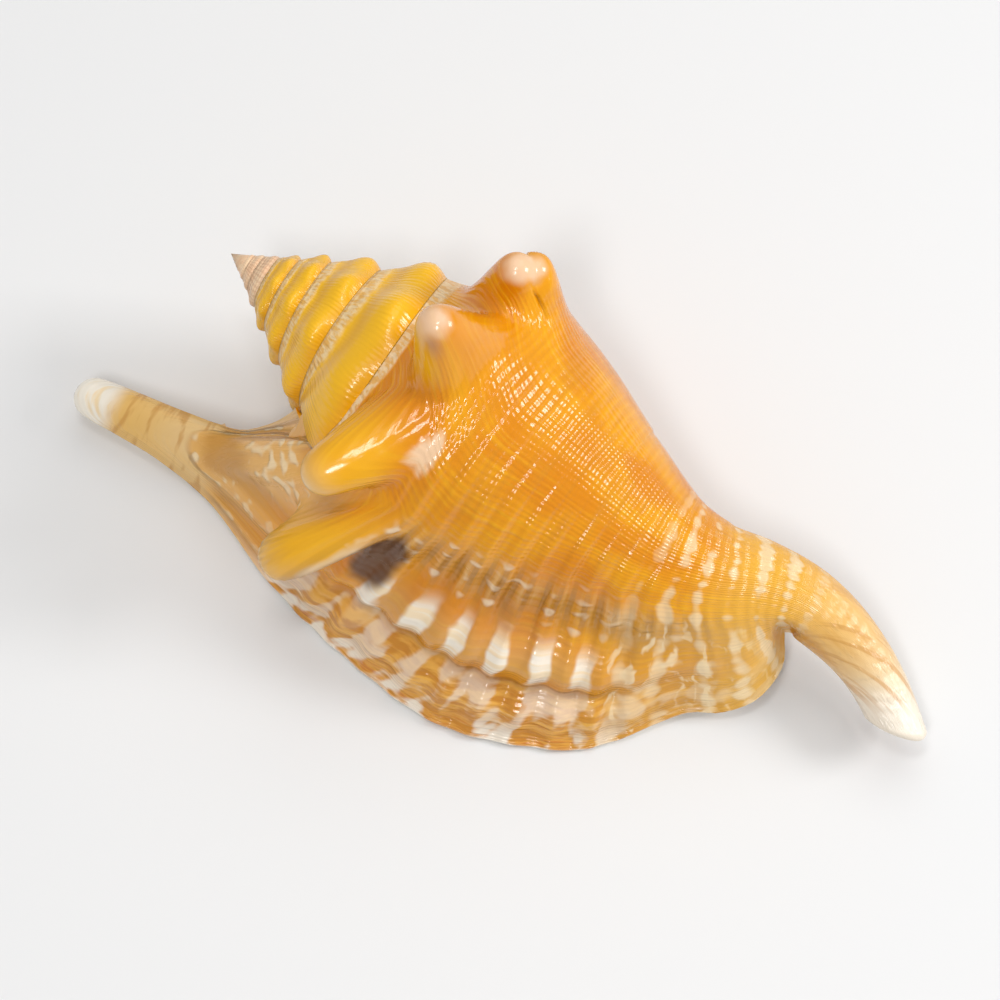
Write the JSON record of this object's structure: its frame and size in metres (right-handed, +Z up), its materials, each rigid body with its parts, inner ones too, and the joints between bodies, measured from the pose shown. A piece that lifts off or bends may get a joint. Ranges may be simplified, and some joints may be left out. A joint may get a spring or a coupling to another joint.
{
  "type": "rooster conch shell",
  "caption": "Spiral sea shell with a wide flared lip, blunt shoulder spines, a long raised tail on the lip, and a curved canal, lying on its opening.",
  "frame": {"origin": "on the table, under the middle of the shell's bounding box", "axes": "+X from the spire towards the canal, -Y towards the flared lip, +Z up, with the opening facing down"},
  "size_m": [0.1414, 0.0642, 0.0585],
  "materials": {
    "shell": null
  },
  "bodies": {
    "root": {"shell": "shell"}
  },
  "joints": []
}
